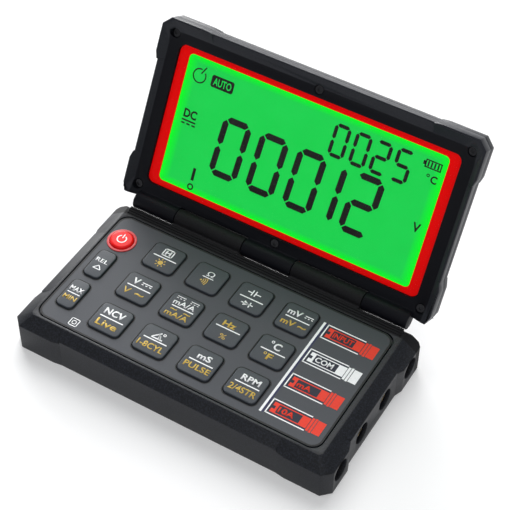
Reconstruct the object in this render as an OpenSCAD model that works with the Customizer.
// A folding digital multimeter: a keypad base and a display lid on one long hinge.
// The frame: +X towards the sockets, +Y towards the hinge, +Z up, origin at the centre of the underside.
// The lid is drawn shut, lying over the base, and open_lid() turns it to where it stands.

/* [Base] */
// Width of the base between its corner bumpers
base_w = 136.6; // [130:0.1:180]
// Depth of the base between its corner bumpers
base_d = 71.0; // [68:0.1:90]
// Height of the base, from the underside to the face of the control panel
base_h = 17.0; // [16.5:0.1:24]
// Wall of the base
base_wall = 2.0; // [1.6:0.1:2.6]
// How far the corner bumpers stand out of the side walls
bumper_side = 1.2; // [0.4:0.1:2]
// How far the corner bumpers stand out of the front and back walls
bumper_end = 0.5; // [0.2:0.1:1]
// Length of a bumper along the front wall
bumper_len_x = 21.0; // [16:0.5:26]
// Length of a bumper along a side wall
bumper_len_y = 17.5; // [12:0.5:22]
// Corner chamfer of the outline
corner_chamfer = 3.5; // [2:0.1:5]
// Chamfer of the corners beside the hinge
hinge_corner_x = 1.3; // [0.8:0.1:1.6]
// Height lost by the slope between two bumpers
slope_drop = 3.0; // [1.5:0.1:3.6]
// Height lost by the slope on a bumper
bumper_drop = 4.4; // [2.5:0.1:4.6]

/* [Control panel] */
// Width of the control panel
panel_w = 123.0; // [116:0.1:126]
// Depth of the control panel
panel_d = 60.3; // [58:0.1:62]
// Thickness of the control panel
panel_t = 1.2; // [1:0.1:1.4]
// Corner radius of the control panel
panel_r = 4.5; // [2:0.1:8]
// Centre of the control panel from the middle of the base, along X
panel_x = -0.6; // [-2:0.1:2]
// Centre of the control panel from the middle of the base, along Y
panel_y = 0.35; // [-1:0.05:1]
// Gap round the control panel
panel_gap = 0.45; // [0.2:0.05:0.8]

/* [Keys] */
// Distance between the columns of square keys
key_pitch_x = 20.0; // [18:0.1:21]
// Distance between the rows of keys
key_pitch_y = 18.4; // [16.5:0.1:19]
// Width of a square key
key_w = 13.7; // [11:0.1:14.5]
// Depth of a square key
key_d = 13.1; // [11:0.1:14]
// Width of a small key
small_key_w = 7.5; // [6:0.1:9]
// Depth of a small key
small_key_d = 14.2; // [11:0.1:14.6]
// Corner radius of the keys
key_r = 2.0; // [1:0.1:3]
// Height of the keys above the control panel
key_proud = 0.8; // [0.4:0.1:1.2]
// Gap between a key and the edge of its hole
key_gap = 0.35; // [0.2:0.05:0.6]
// How far a key goes down
key_travel = 0.6; // [0.3:0.05:0.7]
// Radius of the power button
power_r = 4.8; // [4:0.1:5.5]
// Radius of the ring round the power button
power_ring_r = 6.0; // [5.6:0.1:6.8]

/* [Sockets] */
// Distance between the sockets
jack_pitch = 18.0; // [15:0.1:18]
// Height of the sockets' axes above the underside
jack_z = 8.0; // [7.5:0.1:8.2]
// Radius of a socket's opening in the wall
jack_mouth_r = 4.4; // [4.2:0.05:4.4]
// Radius of the bore that takes a 4 mm plug
jack_bore_r = 2.05; // [2.02:0.01:2.2]
// Outer radius of the brass tube
jack_tube_r = 2.9; // [2.6:0.05:3.1]
// Depth of a socket behind the wall
jack_depth = 20.0; // [17:0.5:20]

/* [Hinge] */
// Distance of the hinge axis behind the back wall between the bumpers
hinge_back = 4.0; // [3.8:0.1:5]
// Height of the hinge axis above the face of the base
hinge_up = 1.3; // [1:0.1:2]
// Radius of the hinge barrel
barrel_r = 3.6; // [3.5:0.1:3.8]
// Gap round the barrel, and between two knuckles
barrel_gap = 0.3; // [0.2:0.05:0.5]
// Half length of the barrel
barrel_half = 62.0; // [58:0.5:62.5]
// Distance from the middle to the joint between the outer knuckles
knuckle_outer = 42.5; // [38:0.5:46]
// Half length of the middle knuckle
knuckle_inner = 11.3; // [9:0.1:14]
// Radius of the hinge pins
pin_r = 1.5; // [1.2:0.05:1.8]
// Running clearance round a pin
pin_gap = 0.05; // [0.02:0.01:0.1]
// Angle between the shut and the standing lid
open_angle = 118.95; // [100:0.05:150]

/* [Lid] */
// Width of the lid between its bumpers
lid_w = 137.0; // [130:0.1:180]
// Distance of the lid's back edge in front of the hinge axis
lid_edge = 1.7; // [1.2:0.1:3]
// Length of the lid between its free edge and its hinge edge
lid_d = 74.2; // [72:0.1:95]
// Gap between the base and the middle rim of the shut lid
lid_rest_gap = 0.9; // [0.5:0.1:1.4]
// Thickness of the lid behind its middle rim
lid_t = 10.0; // [9.5:0.1:14]
// Depth of the lid's front frame behind its middle rim
lid_front_t = 4.2; // [3.6:0.1:4.6]
// Depth of the flat bezel behind the middle rim
bezel_sink = 1.8; // [1:0.1:2.2]
// How far the rim rises on a bumper
bumper_rise = 1.1; // [0.4:0.1:1.2]
// Flat top of the rim
rim_land = 0.8; // [0.4:0.1:1.5]
// Width of the sloped band inside the rim
rim_slope = 2.0; // [1.4:0.1:2.6]
// Chamfer of the bezel's corners
bezel_chamfer = 6.0; // [4:0.1:8]
// Wall of the lid's back cover
lid_wall = 1.5; // [1.2:0.1:2]

/* [Display] */
// Width of the display window
window_w = 122.1; // [112:0.1:124]
// Height of the display window
window_d = 58.8; // [55:0.1:60]
// Distance of the window's lower edge from the hinge axis
window_edge = 8.4; // [8.2:0.1:10]
// Corner radius of the display window
window_r = 3.0; // [1:0.1:5]
// Thickness of the display window
window_t = 1.0; // [0.8:0.1:1.2]
// Width of the visible part of the display
view_w = 113.2; // [104:0.1:114]
// Height of the visible part of the display
view_d = 53.9; // [50:0.1:54.5]
// Gap between the display window and its frame
window_gap = 0.1; // [0.05:0.05:0.2]

/* [Hidden] */
$fn = 64;
cut = 1;

// Heights in the base
base_top = base_h;
bottom_t = 2.0;
bottom_gap = 0.15;
panel_z = base_top - panel_t;
ledge_z = base_top - 5;
ledge_w = 1.4;
board_t = 1.0;
board_z = base_top - 4.0;
board_top = board_z + board_t;
flange_t = 0.6;
flange_w = 0.6;
flange_z = panel_z - 0.1 - flange_t;
dome_t = 0.4;
dome_r = 2.9;
mat_t = 0.3;
plunger_r = 1.4;
plunger_z = board_top + dome_t + key_travel + 0.05;

// Outline of the base
half_w = base_w / 2;
half_d = base_d / 2;
bump_half_w = half_w + bumper_side;
bump_half_d = half_d + bumper_end;
bumper_run_x = 3.5;
bumper_run_y = 3.2;
lip = 1.5;
slope_run_side = half_w - (panel_w / 2 + panel_gap + lip);
slope_run_end = half_d - (panel_d / 2 + panel_gap + lip / 2);

// Hinge
hinge_y = half_d + hinge_back;
hinge_z = base_top + hinge_up;
pin_hole_r = pin_r + pin_gap;
duct_r = 1.6;
duct_leg_r = 1.4;
wire_r = 1.1;
duct_len = 14;
duct_room = 2;
base_leg_angle = 48;
base_leg_len = 12;
lid_leg_angle = -45;
lid_leg_len = 11;
lid_leg_x = 4;
pin_end_gap = 1.0;
gusset_angle = 41;
ramp_y1 = half_d - 0.6;
ramp_rise = 1.4;
ramp_land = 0.2;
ramp_groove = 0.25;
web_foot = 0.3;

// Lid, as it lies shut
lid_z0 = base_top + lid_rest_gap;
lid_z1 = lid_z0 + lid_t;
split_z = lid_z0 + lid_front_t;
bezel_z = lid_z0 + bezel_sink;
lid_y1 = hinge_y - lid_edge;
lid_y0 = lid_y1 - lid_d;
lid_mid_y = (lid_y0 + lid_y1) / 2;
lid_half_w = lid_w / 2;
lid_bump_side = 1.0;
line_half_w = lid_half_w - rim_land - rim_slope + 0.3;
line_y0 = lid_y0 + 4.4;
line_y1 = lid_y1 - 1.3;
window_y1 = hinge_y - window_edge;
window_y0 = window_y1 - window_d;
window_y = (window_y0 + window_y1) / 2;
window_z = bezel_z + 0.2;
mask_t = 0.3;
stack_gap = 0.03;
mask_z = window_z + window_t + stack_gap;
glass_z = mask_z + mask_t + stack_gap;
glass_t = 1.53;
light_t = 1.5;
light_z = glass_z + glass_t + stack_gap / 3;
lid_board_t = 1.0;
lid_board_z = light_z + light_t;
glass_w = window_w - 3.0;
glass_d = window_d - 2.6;

// Screws
screw_head_r = 1.7;
screw_head_t = 0.8;
screw_sink = 0.2;
screw_clear = 0.15;
screw_shank_r = 0.9;
screw_hex_r = 0.8;
boss_r = 2.6;
screw_side_x = lid_half_w - 4.5;
lid_screw_ys = [lid_y0 + 5.4, lid_y1 - 4.2];
lid_screw_z = bezel_z + screw_sink;
lid_screw_hold = 3.4;
lid_screw_xs = [-screw_side_x, 0, screw_side_x];
base_screw_in = 6.0;
base_screws_at = [
    [-(half_w - 8.3), -(half_d - base_screw_in)],
    [-(half_w - 8.3), half_d - base_screw_in],
    [half_w - jack_depth - 10.3, -(half_d - base_screw_in)],
    [half_w - jack_depth - 10.3, half_d - base_screw_in],
    [half_w - 8.3, 0]
];

// Sockets
jack_ys = [for (i = [0:3]) (1.5 - i) * jack_pitch];
wall_in_x = half_w - base_wall;
sleeve_r = jack_mouth_r + 0.7;
sleeve_end_t = 1.5;
sleeve_x0 = wall_in_x - jack_depth;
jack_recess = 1.5;
jack_tail_r = 0.9;
jack_tail_x = sleeve_x0 - 1.8;

// Keypad
key_x0 = -35.2;
key_y0 = -18.5;
small_x = key_x0 - key_pitch_x + 0.2;
key_names = [
    ["key_field_sense", "key_dwell_angle", "key_pulse_width", "key_engine_speed"],
    ["key_volts", "key_current", "key_frequency", "key_temperature"],
    ["key_hold_and_light", "key_resistance", "key_capacitance", "key_millivolts"]
];
square_keys = [for (row = [0:2]) for (col = [0:3])
    [key_names[row][col], key_x0 + col * key_pitch_x, key_y0 + row * key_pitch_y, key_w, key_d]];
small_keys = [
    ["key_relative", small_x, key_y0 + 1.16 * key_pitch_y, small_key_w, small_key_d],
    ["key_max_min", small_x, key_y0 + 0.18 * key_pitch_y, small_key_w, small_key_d]
];
keys = concat(square_keys, small_keys);
power_at = [small_x, key_y0 + 1.98 * key_pitch_y];
switches_at = concat([for (k = keys) [k[1], k[2]]], [power_at]);

// Board and what it carries
board_x0 = -(half_w - 9.4);
board_x1 = sleeve_x0 - 0.5;
board_half_d = half_d - 9.5;
fuse_z = board_z - 4.2;
small_fuse_at = [12, 20];
small_fuse_len = 20;
small_fuse_r = 2.5;
large_fuse_at = [12, -20];
large_fuse_len = 30;
large_fuse_r = 3.1;
chip_at = [16, 0];
buzzer_at = [32, 9];
post_r = 1.5;
posts_at = [
    [board_x0 + 3, board_half_d - 3],
    [board_x0 + 3, -(board_half_d - 3)],
    [-6, board_half_d - 3],
    [-6, -(board_half_d - 3)]
];

// Batteries
cell_r = 5.25;
cell_len = 43.7;
cell_nub = 0.8;
cell_x = -33;
cell_gap = 0.4;
cell_z = board_z - 0.5 - cell_r;
contact_t = 0.4;
spring_wire = 0.4;
spring_r = 3.6;
spring_taper = 0.4;
door_w = cell_len + 6.3;
door_d = 4 * cell_r + cell_gap + 4;
door_t = 1.4;
door_gap = 0.2;
door_tab_w = 6;
door_tab_d = 11;
door_screw_x = cell_x + door_w / 2 + door_tab_w / 2;
door_screw_len = 4.5;
door_boss_r = 2.3;
cell_shift = door_w / 2 - contact_t - cell_nub - cell_len / 2;

jack_names = ["jack_volts", "jack_common", "jack_milliamp", "jack_ten_amp"];

// ---- Shared shapes ----

// A rectangle with round corners, about its centre
module round_rect(w, d, r) {
    square([w - 2 * r, d], center = true);
    square([w, d - 2 * r], center = true);
    for (sx = [-1, 1]) for (sy = [-1, 1])
        translate([sx * (w / 2 - r), sy * (d / 2 - r)]) circle(r);
}

// A flat plate with round corners, standing on z
module round_plate(at, z, w, d, t, r) {
    translate([at[0], at[1], z]) linear_extrude(t) round_rect(w, d, r);
}

// A bar along X
module bar_x(x0, x1, y, z, r) {
    translate([x0, y, z]) rotate([0, 90, 0]) cylinder(h = x1 - x0, r = r);
}

// The wedge that bevels the edge from a to b, whose solid lies to its left
module bevel(a, b, top, run, drop) {
    over = 12;
    length = norm(b - a) + 2 * over;
    translate([a[0], a[1], top]) rotate([0, 0, atan2(b[1] - a[1], b[0] - a[0])])
        translate([-over, 0, 0]) rotate([90, 0, 90]) linear_extrude(length)
            polygon([
                [1.5 * run, 0.5 * drop],
                [-0.5 * run, -1.5 * drop],
                [-0.5 * run, 0.5 * drop]
            ]);
}

// Outline between x0..x1 and y0..y1 with its corners cut off
function chamfered(x0, x1, y0, y1, c) = [
    [x0 + c, y0], [x1 - c, y0], [x1, y0 + c], [x1, y1 - c],
    [x1 - c, y1], [x0 + c, y1], [x0, y1 - c], [x0, y0 + c]
];

// The corner bumper in the +X +Y quarter of a body with these half sizes; cx and cy are cut off its corner
function bumper_outline(hw, hd, side, end, cx, cy) = [
    [hw - bumper_len_x, hd - bumper_len_y],
    [hw - bumper_len_x, hd],
    [hw - bumper_len_x + bumper_run_x, hd + end],
    [hw + side - cx, hd + end],
    [hw + side, hd + end - cy],
    [hw + side, hd - bumper_len_y + bumper_run_y],
    [hw, hd - bumper_len_y]
];

// ---- Base ----

// The base's outer body without its bumpers: a block whose top edges slope
module base_middle() {
    difference() {
        linear_extrude(base_top)
            polygon(chamfered(-half_w, half_w, -half_d, half_d, corner_chamfer + bumper_side));
        for (s = [-1, 1]) {
            bevel(s * [half_w, -half_d], s * [half_w, half_d], base_top, slope_run_side, slope_drop);
            bevel(s * [-half_w, -half_d], s * [half_w, -half_d], base_top, slope_run_end, slope_drop);
        }
        for (sx = [-1, 1]) for (sy = [-1, 1]) to_quarter(sx, sy)
            translate([half_w - bumper_len_x, half_d - bumper_len_y, -cut])
                cube([bumper_len_x + cut, bumper_len_y + cut, base_top + 2 * cut]);
    }
}

// Copies a shape drawn in the +X +Y quarter to the quarter of sx and sy
module to_quarter(sx, sy) {
    mirror([sx < 0 ? 1 : 0, 0, 0]) mirror([0, sy < 0 ? 1 : 0, 0]) children();
}

// A corner bumper of the base; those beside the hinge keep their height along the back wall
module base_bumper(at_hinge) {
    side_x = bump_half_w;
    end_y = bump_half_d;
    c = at_hinge ? hinge_corner_x : corner_chamfer;
    run_side = side_x - (panel_w / 2 + panel_gap + lip);
    run_end = end_y - (panel_d / 2 + panel_gap + lip / 2);
    difference() {
        linear_extrude(base_top) polygon(bumper_outline(half_w, half_d, bumper_side, bumper_end, c, c));
        bevel([side_x, 0], [side_x, end_y], base_top, run_side, bumper_drop);
        if (at_hinge) {
            bevel([side_x, end_y], [0, end_y], base_top, hinge_corner_x, hinge_corner_x);
        } else {
            bevel([side_x, end_y], [0, end_y], base_top, run_end, bumper_drop);
            bevel([side_x, end_y - c], [side_x - c, end_y], base_top, (run_side + run_end) / 2 + 0.6, bumper_drop);
        }
    }
}

// Half of the base's barrel: the knuckle between the lid's middle and outer knuckles, and its gusset
module base_knuckle() {
    x0 = knuckle_inner + barrel_gap / 2;
    length = knuckle_outer - knuckle_inner - barrel_gap;
    translate([x0, hinge_y, hinge_z]) rotate([0, 90, 0]) cylinder(h = length, r = barrel_r);
    translate([x0, 0, 0]) rotate([90, 0, 90]) linear_extrude(length) polygon([
        [half_d - base_wall / 4, base_top * 0.35],
        [half_d - base_wall, ledge_z],
        [half_d - base_wall, base_top],
        [ramp_y1, base_top + ramp_rise],
        [hinge_y, hinge_z],
        [hinge_y + barrel_r * cos(gusset_angle), hinge_z - barrel_r * sin(gusset_angle)]
    ]);
}

// The ramp of three ribs between the control panel and the barrel
module back_ramp() {
    y0 = panel_y + panel_d / 2 + panel_gap + ramp_land;
    step = (ramp_y1 - y0) / 4;
    rise = ramp_rise / 4;
    translate([-barrel_half, 0, 0]) rotate([90, 0, 90]) linear_extrude(2 * barrel_half) polygon(concat(
        [[half_d - base_wall / 4, ledge_z], [y0, ledge_z]],
        [for (i = [0:3]) each [
            [y0 + i * step, base_top + i * rise],
            [y0 + (i + 1) * step - ramp_groove, base_top + (i + 0.8) * rise],
            [y0 + (i + 1) * step - ramp_groove, base_top + i * rise],
            [y0 + (i + 1) * step, base_top + i * rise]
        ]],
        [[ramp_y1, base_top + ramp_rise], [half_d - base_wall / 4, base_top]]
    ));
}

module base_case() {
    open_w = panel_w - 2 * ledge_w;
    open_d = panel_d - 2 * ledge_w;
    color([0.13, 0.14, 0.17]) difference() {
        union() {
            base_middle();
            for (sx = [-1, 1]) for (sy = [-1, 1]) to_quarter(sx, sy) base_bumper(sy > 0);
            for (sx = [-1, 1]) to_quarter(sx, 1) base_knuckle();
            back_ramp();
        }
        // room inside the walls
        difference() {
            translate([-wall_in_x, -(half_d - base_wall), -cut])
                cube([2 * wall_in_x, 2 * (half_d - base_wall), ledge_z + cut]);
            for (at = base_screws_at)
                translate([at[0], at[1], bottom_t]) cylinder(h = ledge_z, r = boss_r);
        }
        for (at = base_screws_at)
            translate([at[0], at[1], bottom_t - cut]) cylinder(h = ledge_z - bottom_t, r = screw_shank_r);
        // opening under the control panel, and the step that it sits in
        round_plate([panel_x, panel_y], ledge_z - cut, open_w, open_d, base_h, panel_r - 1);
        round_plate([panel_x, panel_y], panel_z, panel_w + 2 * panel_gap, panel_d + 2 * panel_gap, base_h, panel_r);
        // openings of the sockets, and room for the sleeves behind them
        for (y = jack_ys) {
            bar_x(wall_in_x - cut, bump_half_w + cut, y, jack_z, jack_mouth_r);
            bar_x(sleeve_x0 - 3, wall_in_x, y, jack_z, sleeve_r + 0.05);
        }
        // the lid's knuckles turn in hollows
        bar_x(-barrel_half - barrel_gap, -knuckle_outer + barrel_gap / 2, hinge_y, hinge_z, barrel_r + barrel_gap);
        bar_x(knuckle_outer - barrel_gap / 2, barrel_half + barrel_gap, hinge_y, hinge_z, barrel_r + barrel_gap);
        inner = knuckle_inner + barrel_gap / 2;
        bar_x(-inner, inner, hinge_y, hinge_z, barrel_r + barrel_gap);
        // pin bores, and the duct that the wires run through
        bar_x(-knuckle_outer - cut, -knuckle_inner + cut, hinge_y, hinge_z, pin_hole_r);
        bar_x(knuckle_inner + duct_len, knuckle_outer + cut, hinge_y, hinge_z, pin_hole_r);
        bar_x(knuckle_inner - cut, knuckle_inner + duct_len, hinge_y, hinge_z, duct_r);
        wire_leg(duct_leg_r, knuckle_inner + duct_len - duct_r, base_leg_angle, base_leg_len + duct_room);
    }
}

// A leg of the wire duct or of the wires, from the hinge axis at x, falling by angle towards -Y
module wire_leg(r, x, angle, length) {
    translate([x, hinge_y, hinge_z]) rotate([90 + angle, 0, 0]) cylinder(h = length, r = r);
}

module base_bottom() {
    w = 2 * wall_in_x - 2 * bottom_gap;
    d = 2 * (half_d - base_wall) - 2 * bottom_gap;
    color([0.11, 0.12, 0.14]) {
        difference() {
            translate([-w / 2, -d / 2, 0]) cube([w, d, bottom_t]);
            translate([cell_x - door_w / 2, -door_d / 2, -cut]) cube([door_w, door_d, bottom_t + 2 * cut]);
            for (at = base_screws_at) translate([at[0], at[1], -cut]) {
                cylinder(h = bottom_t + 2 * cut, r = screw_shank_r + screw_clear);
                cylinder(h = screw_sink + screw_head_t + cut, r = screw_head_r + screw_clear);
            }
            translate([cell_x + door_w / 2 - cut, -door_tab_d / 2 - door_gap, -cut])
                cube([door_tab_w + door_gap + cut, door_tab_d + 2 * door_gap, door_t + door_gap / 2 + cut]);
            translate([door_screw_x, 0, -cut]) cylinder(h = door_screw_len + cut, r = screw_shank_r);
        }
        // boss of the door's screw
        difference() {
            translate([door_screw_x, 0, bottom_t - 0.01])
                cylinder(h = door_screw_len - bottom_t + 1, r = door_boss_r);
            translate([door_screw_x, 0, -cut]) cylinder(h = door_screw_len + cut, r = screw_shank_r);
        }
        // walls of the battery bay
        for (s = [-1, 1]) {
            translate([cell_x - door_w / 2, s * (door_d / 2 + 0.5) - 0.5, bottom_t - 0.01])
                cube([door_w, 1, board_z - 1.5 - bottom_t]);
            translate([cell_x + s * (door_w / 2 + 0.5) - 0.5, -(door_d / 2 + 1), bottom_t - 0.01])
                cube([1, door_d + 2, board_z - 1.5 - bottom_t]);
        }
        // posts that the main board lies on
        for (at = posts_at)
            translate([at[0], at[1], bottom_t - 0.01]) cylinder(h = board_z - bottom_t + 0.01, r = post_r);
    }
}

module base_screws() {
    color([0.55, 0.56, 0.58]) for (at = base_screws_at)
        translate([at[0], at[1], screw_sink]) screw(ledge_z - bottom_t - 2);
}

// A socket head screw with its head down: the shank goes up
module screw(length) {
    difference() {
        union() {
            cylinder(h = screw_head_t, r = screw_head_r);
            cylinder(h = length, r = screw_shank_r - 0.02);
        }
        translate([0, 0, -cut]) cylinder(h = cut + screw_head_t / 2, r = screw_hex_r, $fn = 6);
    }
}

module battery_door() {
    color([0.12, 0.13, 0.15]) difference() {
        union() {
            translate([cell_x - door_w / 2 + door_gap, -door_d / 2 + door_gap, 0])
                cube([door_w - 2 * door_gap, door_d - 2 * door_gap, door_t]);
            translate([cell_x + door_w / 2 - 2, -door_tab_d / 2, 0]) cube([door_tab_w + 2, door_tab_d, door_t]);
        }
        translate([door_screw_x, 0, -cut]) {
            cylinder(h = door_t + 2 * cut, r = screw_shank_r + screw_clear);
            cylinder(h = screw_head_t + cut, r = screw_head_r + screw_clear);
        }
    }
}

module battery_door_screw() {
    color([0.55, 0.56, 0.58]) translate([door_screw_x, 0, 0]) screw(door_screw_len - 0.5);
}

// One cell: its nub presses on a contact at the end of side s, its flat end on a spring
module battery(s) {
    x = cell_x + s * cell_shift;
    nub_x = x + s * (cell_len + cell_nub) / 2;
    color([0.82, 0.64, 0.28]) translate([0, s * (cell_r + cell_gap / 2), 0]) {
        bar_x(x - cell_len / 2, x + cell_len / 2, 0, cell_z, cell_r);
        bar_x(nub_x - cell_nub / 2, nub_x + cell_nub / 2, 0, cell_z, 1.9);
    }
}

// A contact plate at each end of the bay, and a stepped spring under each cell's flat end
module battery_contacts() {
    turns = 4;
    spring_len = door_w / 2 - contact_t + cell_shift - cell_len / 2;
    spring_end = door_w / 2 - contact_t - spring_wire;
    step = (spring_len - 2 * spring_wire) / (turns - 1);
    color([0.8, 0.8, 0.78]) for (s = [-1, 1]) {
        translate([cell_x + s * (door_w - contact_t) / 2 - contact_t / 2, -2 * cell_r, cell_z - 4])
            cube([contact_t, 4 * cell_r, 8]);
        for (turn = [0:turns - 1])
            translate([cell_x - s * (spring_end - turn * step), s * (cell_r + cell_gap / 2), cell_z])
                rotate([0, 90, 0]) rotate_extrude()
                    translate([spring_r - spring_taper * turn, 0]) circle(spring_wire);
    }
}

module control_panel() {
    color([0.3, 0.31, 0.33]) difference() {
        round_plate([panel_x, panel_y], panel_z, panel_w, panel_d, panel_t, panel_r);
        for (k = keys)
            round_plate([k[1], k[2]], panel_z - cut, k[3] + 2 * key_gap, k[4] + 2 * key_gap, base_h, key_r + key_gap);
        translate([power_at[0], power_at[1], panel_z - cut]) cylinder(h = base_h, r = power_ring_r);
    }
}

module key_cap(k) {
    color([0.36, 0.38, 0.4]) {
        round_plate([k[1], k[2]], flange_z, k[3], k[4], base_top + key_proud - flange_z, key_r);
        round_plate([k[1], k[2]], flange_z, k[3] + 2 * flange_w, k[4] + 2 * flange_w, flange_t, key_r + flange_w);
        translate([k[1], k[2], plunger_z]) cylinder(h = flange_z - plunger_z + 0.1, r = plunger_r);
    }
}

module power_ring() {
    color([0.9, 0.3, 0.3]) translate([power_at[0], power_at[1], panel_z]) difference() {
        cylinder(h = panel_t + 0.35, r = power_ring_r - 0.02);
        translate([0, 0, -cut]) cylinder(h = base_h, r = power_r + 0.2);
    }
}

module power_button() {
    color([0.85, 0.06, 0.06]) translate([power_at[0], power_at[1], 0]) {
        translate([0, 0, flange_z]) cylinder(h = base_top + key_proud + 0.4 - flange_z, r = power_r);
        translate([0, 0, flange_z]) cylinder(h = flange_t, r = power_r + flange_w);
        translate([0, 0, plunger_z]) cylinder(h = flange_z - plunger_z + 0.1, r = plunger_r);
    }
}

module key_mat() {
    color([0.2, 0.2, 0.2]) difference() {
        translate([board_x0 + 1, -board_half_d + 0.4, board_top])
            cube([2 * key_pitch_x + key_x0 - board_x0 + 31, 2 * board_half_d - 0.8, mat_t]);
        for (at = switches_at)
            translate([at[0], at[1], board_top - cut]) cylinder(h = 3, r = dome_r + 0.2);
    }
}

module switch_domes() {
    color([0.8, 0.8, 0.8]) for (at = switches_at) translate([at[0], at[1], board_top]) {
        cylinder(h = dome_t / 2, r = dome_r);
        cylinder(h = dome_t, r = dome_r * 0.6);
    }
}

module main_board() {
    color([0.05, 0.35, 0.15])
        translate([board_x0, -board_half_d, board_z]) cube([board_x1 - board_x0, 2 * board_half_d, board_t]);
}

module measuring_chip() {
    color([0.08, 0.08, 0.08])
        translate([chip_at[0] - 6, chip_at[1] - 6, board_z - 1.4]) cube([12, 12, 1.4]);
}

module buzzer() {
    color([0.1, 0.1, 0.1]) translate([buzzer_at[0], buzzer_at[1], board_z - 5]) difference() {
        cylinder(h = 5, r = 5.5);
        translate([0, 0, -cut]) cylinder(h = 2, r = 1);
    }
}

module fuse(at, length, r) {
    cap = length / 5;
    color([0.9, 0.92, 0.93]) {
        bar_x(at[0] - length / 2 + cap, at[0] + length / 2 - cap, at[1], fuse_z, r - 0.25);
        bar_x(at[0] - length / 2, at[0] - length / 2 + cap, at[1], fuse_z, r);
        bar_x(at[0] + length / 2 - cap, at[0] + length / 2, at[1], fuse_z, r);
    }
}

// Spring clips on the board's underside hold both ends of each fuse
module fuse_clips() {
    for (f = [[small_fuse_at, small_fuse_len, small_fuse_r], [large_fuse_at, large_fuse_len, large_fuse_r]])
        for (s = [-1, 1]) clip(f[0][0] + s * (f[1] / 2 - f[1] / 10), f[0][1], f[2]);
}

module clip(x, y, r) {
    w = 2.4;
    leaf = 0.4;
    hold_r = r + 0.05;
    color([0.78, 0.74, 0.6]) difference() {
        translate([x - w / 2, y - r - leaf, fuse_z - r * 0.6])
            cube([w, 2 * (r + leaf), board_z - fuse_z + r * 0.6]);
        bar_x(x - w, x + w, y, fuse_z, hold_r);
        translate([x - w, y - r * 0.75, fuse_z - r - 1]) cube([2 * w, r * 1.5, board_z - fuse_z + r]);
    }
}

// The bent bar that the high current flows through
module current_shunt() {
    r = 0.8;
    span = 12;
    x = board_x1 - 4;
    color([0.7, 0.55, 0.4]) {
        for (s = [-1, 1]) translate([x, -9 + s * span / 2, board_z - 5]) cylinder(h = 5, r = r);
        translate([x, -9, board_z - 5]) rotate([90, 0, 0]) cylinder(h = span, r = r, center = true);
        for (s = [-1, 1]) translate([x, -9 + s * span / 2, board_z - 5]) sphere(r);
    }
}

// ---- Sockets ----

module jack(y) {
    tube_x0 = sleeve_x0 + sleeve_end_t;
    tube_x1 = half_w - jack_recess;
    color([0.85, 0.68, 0.3]) difference() {
        union() {
            bar_x(tube_x0, tube_x1, y, jack_z, jack_tube_r);
            bar_x(jack_tail_x, tube_x0 + 0.1, y, jack_z, jack_tail_r);
            translate([jack_tail_x, y, jack_z]) cylinder(h = board_z - jack_z, r = jack_tail_r);
            translate([jack_tail_x, y, jack_z]) sphere(jack_tail_r);
        }
        bar_x(tube_x0 + 2, tube_x1 + cut, y, jack_z, jack_bore_r);
    }
}

// Plastic cups that shroud the brass tubes
module jack_sleeves() {
    color([0.06, 0.06, 0.06]) for (y = jack_ys) difference() {
        bar_x(sleeve_x0, wall_in_x, y, jack_z, sleeve_r);
        bar_x(sleeve_x0 + sleeve_end_t, wall_in_x + cut, y, jack_z, jack_mouth_r);
        bar_x(sleeve_x0 - cut, wall_in_x, y, jack_z, jack_tail_r + 0.05);
    }
}

// ---- Hinge ----

module hinge_pins() {
    color([0.7, 0.7, 0.72]) {
        bar_x(-barrel_half + pin_end_gap, 0, hinge_y, hinge_z, pin_r);
        bar_x(knuckle_inner + duct_len + pin_end_gap, barrel_half - pin_end_gap, hinge_y, hinge_z, pin_r);
    }
}

module base_wires() {
    x1 = knuckle_inner + duct_len - duct_r;
    color([0.75, 0.2, 0.15]) {
        bar_x(knuckle_inner + barrel_gap / 2, x1, hinge_y, hinge_z, wire_r);
        translate([x1, hinge_y, hinge_z]) sphere(wire_r);
        wire_leg(wire_r, x1, base_leg_angle, base_leg_len);
    }
}

module lid_wires() {
    color([0.75, 0.2, 0.15]) open_lid() {
        bar_x(lid_leg_x, knuckle_inner - barrel_gap / 2, hinge_y, hinge_z, wire_r);
        translate([lid_leg_x, hinge_y, hinge_z]) sphere(wire_r);
        wire_leg(wire_r, lid_leg_x, lid_leg_angle, lid_leg_len);
    }
}

// ---- Lid ----

// Turns what is drawn shut to where the lid stands
module open_lid() {
    translate([0, hinge_y, hinge_z]) rotate([-open_angle, 0, 0]) translate([0, -hinge_y, -hinge_z]) children();
}

// The lid's bumper in the quarter of sx and sy, standing from z0 to z1
module lid_bumper(sx, sy, z0, z1) {
    translate([0, lid_mid_y, z0]) to_quarter(sx, sy) linear_extrude(z1 - z0)
        polygon(bumper_outline(lid_half_w, lid_d / 2, lid_bump_side, sy < 0 ? bumper_end : 0,
                               sy < 0 ? corner_chamfer : hinge_corner_x, corner_chamfer));
}

module lid_bumpers(z0, z1) {
    for (sx = [-1, 1]) for (sy = [-1, 1]) lid_bumper(sx, sy, z0, z1);
}

// The lid's block between its bumpers, standing from z0 to z1
module lid_middle(z0, z1) {
    difference() {
        translate([0, 0, z0]) linear_extrude(z1 - z0)
            polygon(chamfered(-lid_half_w, lid_half_w, lid_y0, lid_y1, corner_chamfer + lid_bump_side));
        translate([0, lid_mid_y, z0 - cut]) for (sx = [-1, 1]) for (sy = [-1, 1]) to_quarter(sx, sy)
            translate([lid_half_w - bumper_len_x, lid_d / 2 - bumper_len_y])
                cube([bumper_len_x + cut, bumper_len_y + cut, z1 - z0 + 2 * cut]);
    }
}

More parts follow.
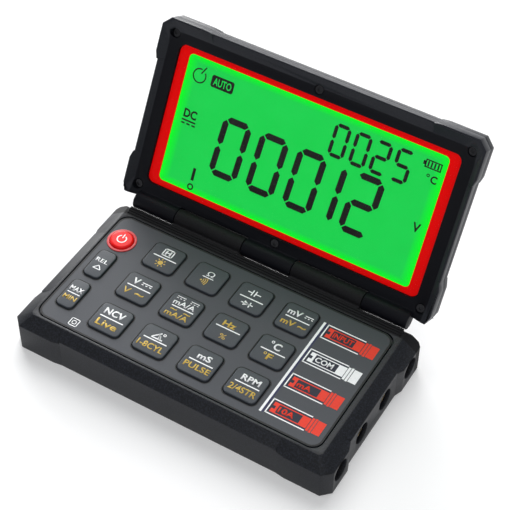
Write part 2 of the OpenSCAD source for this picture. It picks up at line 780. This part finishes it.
// The hollow in front of the bezel: its walls slope from the rim's top at z down to the bezel
module bezel_hollow(z, rim_w, rim_y0) {
    hull() {
        translate([0, 0, z - 0.01]) linear_extrude(0.01)
            polygon(chamfered(-rim_w, rim_w, rim_y0, lid_y1 + 2, bezel_chamfer * 0.7));
        translate([0, 0, bezel_z - 0.01]) linear_extrude(0.01)
            polygon(chamfered(-line_half_w, line_half_w, line_y0, line_y1, bezel_chamfer));
    }
}

module lid_knuckle(x0, x1) {
    bar_x(x0, x1, hinge_y, hinge_z, barrel_r);
    // web between the barrel and the bezel
    translate([x0, 0, 0]) rotate([90, 0, 90]) linear_extrude(x1 - x0) polygon([
        [hinge_y - barrel_r, hinge_z],
        [hinge_y, hinge_z],
        [lid_y1, split_z],
        [hinge_y - barrel_r - web_foot, split_z],
        [hinge_y - barrel_r - web_foot, bezel_z]
    ]);
}

module lid_front() {
    low_z = lid_z0 - bumper_rise;
    g = barrel_gap / 2;
    color([0.08, 0.09, 0.12]) open_lid() difference() {
        union() {
            difference() {
                lid_middle(lid_z0, split_z);
                bezel_hollow(lid_z0, lid_half_w - rim_land, lid_y0 + rim_land);
            }
            difference() {
                lid_bumpers(low_z, split_z);
                bezel_hollow(low_z, lid_half_w + lid_bump_side - rim_land, lid_y0 - bumper_end + rim_land);
            }
            lid_knuckle(-barrel_half, -knuckle_outer - g);
            lid_knuckle(-knuckle_inner + g, knuckle_inner - g);
            lid_knuckle(knuckle_outer + g, barrel_half);
        }
        // opening for the window, with a step that carries it, and the display glass behind it
        round_plate([0, window_y], lid_z0 - cut, window_w + 2 * window_gap, window_d + 2 * window_gap,
                    glass_z - lid_z0 + cut, window_r);
        round_plate([0, window_y], lid_z0, glass_w + 2 * window_gap, glass_d + 2 * window_gap, lid_t, 0.6);
        // the base's knuckles turn in hollows
        for (s = [-1, 1])
            bar_x(s > 0 ? knuckle_inner - g : -knuckle_outer - g, s > 0 ? knuckle_outer + g : -knuckle_inner + g,
                  hinge_y, hinge_z, barrel_r + barrel_gap);
        // pin bores and wire duct
        bar_x(-barrel_half + pin_end_gap - 0.1, -knuckle_outer + cut, hinge_y, hinge_z, pin_hole_r);
        bar_x(-knuckle_inner - cut, 0.1, hinge_y, hinge_z, pin_hole_r);
        bar_x(knuckle_outer - cut, barrel_half - pin_end_gap + 0.1, hinge_y, hinge_z, pin_hole_r);
        bar_x(lid_leg_x - duct_r, knuckle_inner + cut, hinge_y, hinge_z, duct_r);
        wire_leg(duct_leg_r, lid_leg_x, lid_leg_angle, lid_leg_len + duct_room);
        // screw holes
        for (x = lid_screw_xs) for (y = lid_screw_ys) translate([x, y, low_z - cut]) {
            cylinder(h = lid_screw_z + screw_head_t - low_z + cut, r = screw_head_r + 2 * screw_clear);
            cylinder(h = lid_t, r = screw_shank_r + screw_clear);
        }
    }
}

module lid_back() {
    room_y1 = hinge_y - barrel_r - barrel_gap - 1.8;
    color([0.24, 0.25, 0.27]) open_lid() difference() {
        union() {
            difference() {
                lid_middle(split_z, lid_z1);
                lid_bevels(lid_half_w, lid_y0, lid_y1, 2.6, 2.6);
            }
            difference() {
                lid_bumpers(split_z, lid_z1);
                lid_bevels(lid_half_w + lid_bump_side, lid_y0 - bumper_end, lid_y1, 2.6, 2.0);
            }
        }
        // room inside
        difference() {
            translate([-(lid_half_w - 2), lid_y0 + 2, split_z - cut])
                cube([lid_w - 4, room_y1 - lid_y0 - 2, lid_z1 - lid_wall - split_z + cut]);
            for (x = lid_screw_xs) for (y = lid_screw_ys)
                translate([x, y, split_z]) cylinder(h = lid_t, r = boss_r);
            // pads that press on the display's board
            for (sx = [-1, 1]) for (sy = [-1, 1])
                translate([sx * view_w * 0.4, window_y + sy * view_d * 0.35, lid_board_z + lid_board_t])
                    cylinder(h = lid_t, r = post_r);
        }
        for (x = lid_screw_xs) for (y = lid_screw_ys)
            translate([x, y, split_z - cut]) cylinder(h = lid_screw_hold + cut, r = screw_shank_r);
        wire_leg(duct_leg_r, lid_leg_x, lid_leg_angle, lid_leg_len + duct_room);
    }
}

// The bevels round the lid's back
module lid_bevels(hw, y0, y1, run, drop) {
    for (s = [-1, 1]) bevel([s * hw, s * -lid_d], [s * hw, s * lid_d], lid_z1, run, drop);
    bevel([-hw, y0], [hw, y0], lid_z1, run, drop);
    bevel([hw, y1], [-hw, y1], lid_z1, run, drop);
    c = corner_chamfer;
    bevel([hw - c, y0], [hw, y0 + c], lid_z1, run, drop);
    bevel([-hw, y0 + c], [-hw + c, y0], lid_z1, run, drop);
    bevel([hw, y1 - c], [hw - c, y1], lid_z1, run, drop);
    bevel([-hw + c, y1], [-hw, y1 - c], lid_z1, run, drop);
}

module lid_screws() {
    color([0.2, 0.2, 0.22]) open_lid() for (x = lid_screw_xs) for (y = lid_screw_ys)
        translate([x, y, lid_screw_z]) screw(split_z - lid_screw_z + lid_screw_hold - 0.2);
}

module display_window() {
    color([0.8, 0.9, 0.85, 0.3]) open_lid()
        round_plate([0, window_y], window_z, window_w, window_d, window_t, window_r);
}

module display_mask() {
    color([0.88, 0.02, 0.02]) open_lid() difference() {
        round_plate([0, window_y], mask_z, window_w, window_d, mask_t, window_r);
        round_plate([0, window_y], mask_z - cut, view_w, view_d, 3, window_r - 1);
    }
}

module display_glass() {
    color([0.13, 0.84, 0.33]) open_lid()
        round_plate([0, window_y], glass_z, glass_w, glass_d, glass_t, 0.5);
}

module display_light() {
    color([0.9, 0.95, 0.9]) open_lid()
        round_plate([0, window_y], light_z, glass_w - 1.6, glass_d - 4, light_t, 0.5);
}

// Conductive rubber strips between the display glass and its board
module display_strips() {
    color([0.9, 0.85, 0.8]) open_lid() for (s = [-1, 1])
        translate([-glass_w / 2 + 4, window_y + s * (glass_d / 2 - 0.8) - 0.7, light_z])
            cube([glass_w - 8, 1.4, light_t]);
}

module display_board() {
    color([0.05, 0.35, 0.15]) open_lid()
        translate([-glass_w / 2, window_y - glass_d / 2, lid_board_z]) cube([glass_w, glass_d, lid_board_t]);
}

// ---- Nodes ----

base_case();
base_bottom();
base_screws();
battery_door();
battery_door_screw();
battery(-1);  // battery_left
battery(1);  // battery_right
battery_contacts();
control_panel();
key_mat();
switch_domes();
main_board();
measuring_chip();
buzzer();
fuse(small_fuse_at, small_fuse_len, small_fuse_r);  // small_fuse
fuse(large_fuse_at, large_fuse_len, large_fuse_r);  // large_fuse
fuse_clips();
current_shunt();
power_ring();
power_button();
for (k = keys) key_cap(k);
for (i = [0:3]) jack(jack_ys[i]);
jack_sleeves();
hinge_pins();
base_wires();
lid_wires();
lid_front();
lid_back();
lid_screws();
display_window();
display_mask();
display_glass();
display_light();
display_strips();
display_board();
